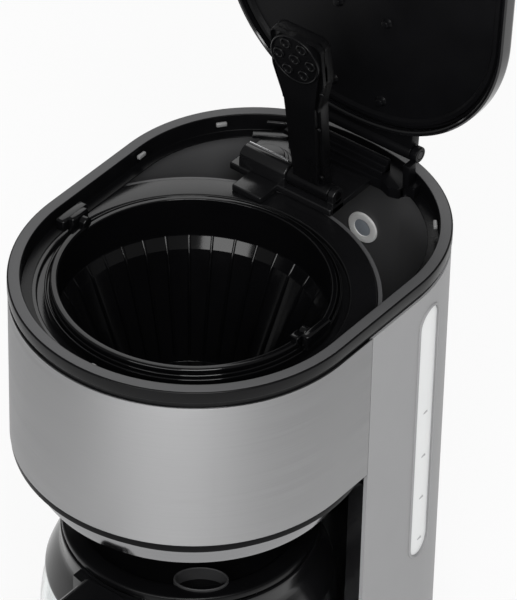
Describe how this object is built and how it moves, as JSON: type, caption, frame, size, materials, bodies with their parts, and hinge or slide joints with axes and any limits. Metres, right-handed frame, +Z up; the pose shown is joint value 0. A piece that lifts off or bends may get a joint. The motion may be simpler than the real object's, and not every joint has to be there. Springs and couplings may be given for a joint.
{
  "type": "drip coffee maker",
  "caption": "Drip coffee maker with a hinged lid, swing-up spray arm, lift-out filter basket, crescent water tank with level window, warming plate and glass carafe with drip stop.",
  "frame": {"origin": "on the table, under the brew axis that the basket, drip valve and carafe share", "axes": "+X to the right side with the water window, +Y to the back, +Z up"},
  "size_m": [0.178, 0.2664, 0.5423],
  "materials": {
    "black_plastic": "satin",
    "gloss_black": "gloss",
    "steel_band": "brushed round the band",
    "steel_sheet": "plain sheet",
    "silver_shell": "satin silver paint",
    "tank_grey": "satin",
    "clear_window": "milky clear plastic",
    "clear_glass": "clear glass",
    "light_plastic": "satin",
    "plate_coating": "non-stick coating",
    "heater_aluminium": "as cast",
    "screw_steel": "plated",
    "bright_trim": "polished",
    "black_rubber": "matt",
    "hose_silicone": "matt",
    "lamp_red": "clear red"
  },
  "bodies": {
    "machine": {"base_shell": "black_plastic", "bottom_cover": "black_plastic", "foot_ring": "black_rubber", "bottom_screws": "screw_steel", "plate_gasket": "black_rubber", "warming_plate": "plate_coating", "heater_body": "heater_aluminium", "heater_bracket": "steel_sheet", "bracket_screws": "screw_steel", "thermostat": "black_plastic", "thermal_fuse": "light_plastic", "feed_hose": "hose_silicone", "riser_hose": "hose_silicone", "hose_clamps": "steel_sheet", "water_tank": "tank_grey", "check_valve": "light_plastic", "water_window": "clear_window", "overflow_grommet": "light_plastic", "column_front": "black_plastic", "outer_shell": "silver_shell", "front_band": "steel_band", "brew_head": "gloss_black", "head_skirt": "black_plastic", "skirt_ring": "bright_trim", "top_rim": "gloss_black", "hinge_shelf": "black_plastic", "lid_pins": "screw_steel", "arm_bridge": "gloss_black", "arm_pin": "screw_steel", "switch_body": "black_plastic", "lamp_lens": "lamp_red", "cord_bush": "black_rubber"},
    "lid": {"lid_cover": "gloss_black", "lid_liner": "black_plastic"},
    "arm": {"spray_arm": "black_plastic", "spray_plate": "gloss_black"},
    "basket": {"filter_basket": "gloss_black", "valve_spring": "screw_steel"},
    "bail": {"basket_bail": "gloss_black"},
    "valve": {"drip_valve": "light_plastic", "valve_seal": "black_rubber"},
    "carafe": {"carafe_glass": "clear_glass", "carafe_collar": "black_plastic", "carafe_handle": "black_plastic", "handle_screw": "screw_steel"},
    "carafe_cap": {"carafe_lid": "black_plastic"},
    "button": {"power_button": "gloss_black"}
  },
  "joints": [
    {"name": "lid_hinge", "type": "hinge", "parent": "machine", "child": "lid", "pos_m": [0, 0.1325, 0.3256], "axis": [-1, 0, 0], "range_deg": [-92.7, 0]},
    {"name": "arm_hinge", "type": "hinge", "parent": "machine", "child": "arm", "pos_m": [0, 0.093, 0.314], "axis": [-1, 0, 0], "range_deg": [-82, 0]},
    {"name": "basket_lift", "type": "slide", "parent": "machine", "child": "basket", "axis": [0, 0, 1], "range_m": [0, 0.1]},
    {"name": "bail_fold", "type": "hinge", "parent": "basket", "child": "bail", "pos_m": [0, 0, 0.3135], "axis": [-1, 0, 0], "range_deg": [0, 100]},
    {"name": "drip_stop", "type": "slide", "parent": "basket", "child": "valve", "axis": [0, 0, 1], "range_m": [0, 0.0035], "stiffness_N_per_m": 150, "springref_m": -0.004, "deforming": ["valve_spring"]},
    {"name": "carafe_slide", "type": "slide", "parent": "machine", "child": "carafe", "axis": [0, -1, 0], "range_m": [0, 0.2]},
    {"name": "carafe_lid_turn", "type": "hinge", "parent": "carafe", "child": "carafe_cap", "pos_m": [0, 0, 0.1593], "axis": [0, 0, 1], "range_deg": [0, 40]},
    {"name": "power_press", "type": "slide", "parent": "machine", "child": "button", "axis": [0, 1, 0], "range_m": [0, 0.0025], "stiffness_N_per_m": 600, "springref_m": -0.001}
  ],
  "couplings": [
    {"joint": "arm_hinge", "follows": "lid_hinge", "ratio": 0.8845}
  ]
}
